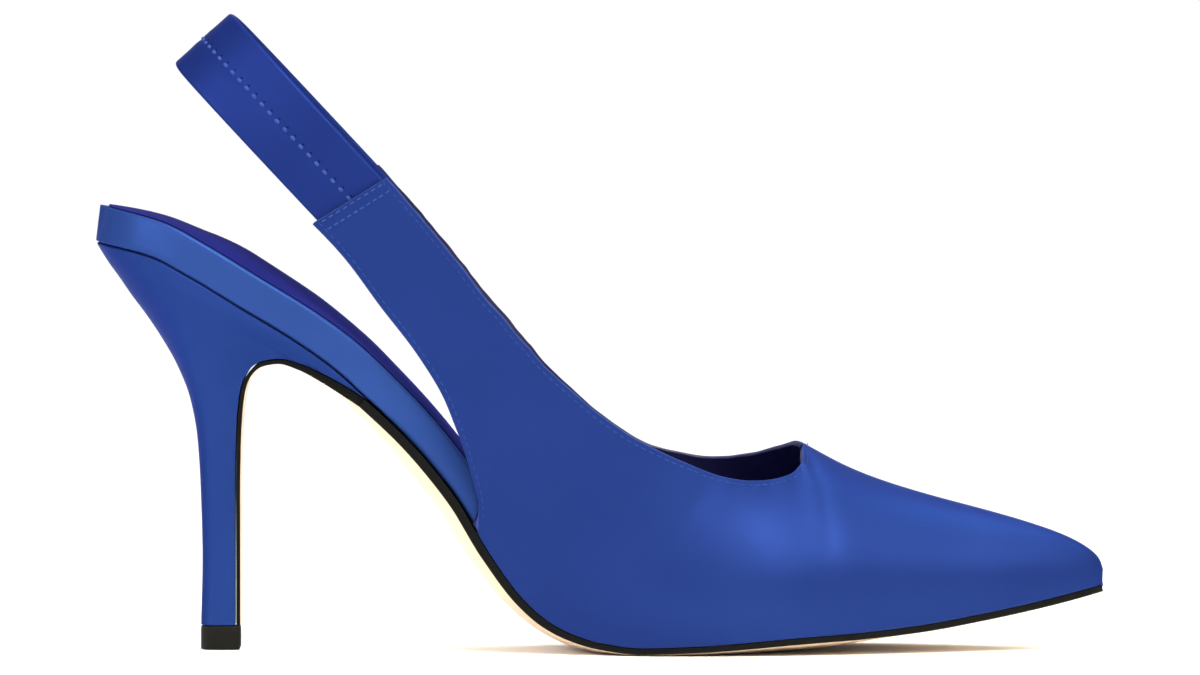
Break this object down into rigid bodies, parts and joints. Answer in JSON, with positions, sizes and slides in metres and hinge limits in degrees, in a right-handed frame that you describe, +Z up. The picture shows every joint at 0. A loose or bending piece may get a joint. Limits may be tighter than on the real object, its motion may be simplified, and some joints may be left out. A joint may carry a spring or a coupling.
{
  "type": "slingback pump",
  "caption": "Right-foot pointed slingback pump with a high stiletto heel, a low-cut vamp, sweeping quarters and an elastic strap round the heel.",
  "frame": {"origin": "on the ground, midway between the heel's back edge and the toe tip and midway between the widest points of the sides", "axes": "+X towards the toe, +Y towards the inner side of the foot, +Z up"},
  "size_m": [0.2452, 0.0724, 0.1549],
  "materials": {
    "satin": "blue satin with a soft sheen",
    "strap_satin": "blue satin over elastic",
    "band_satin": "blue satin wrapped round the insole",
    "lining": "smooth blue lining",
    "sole_leather": "smooth tan leather with a black painted edge",
    "heel_satin": "blue satin wrapped round the heel",
    "lift_rubber": "matt black"
  },
  "bodies": {
    "root": {"upper": "satin", "sling_strap": "strap_satin", "insole": "band_satin", "sock": "lining", "outsole": "sole_leather", "heel": "heel_satin", "top_lift": "lift_rubber"}
  },
  "joints": []
}
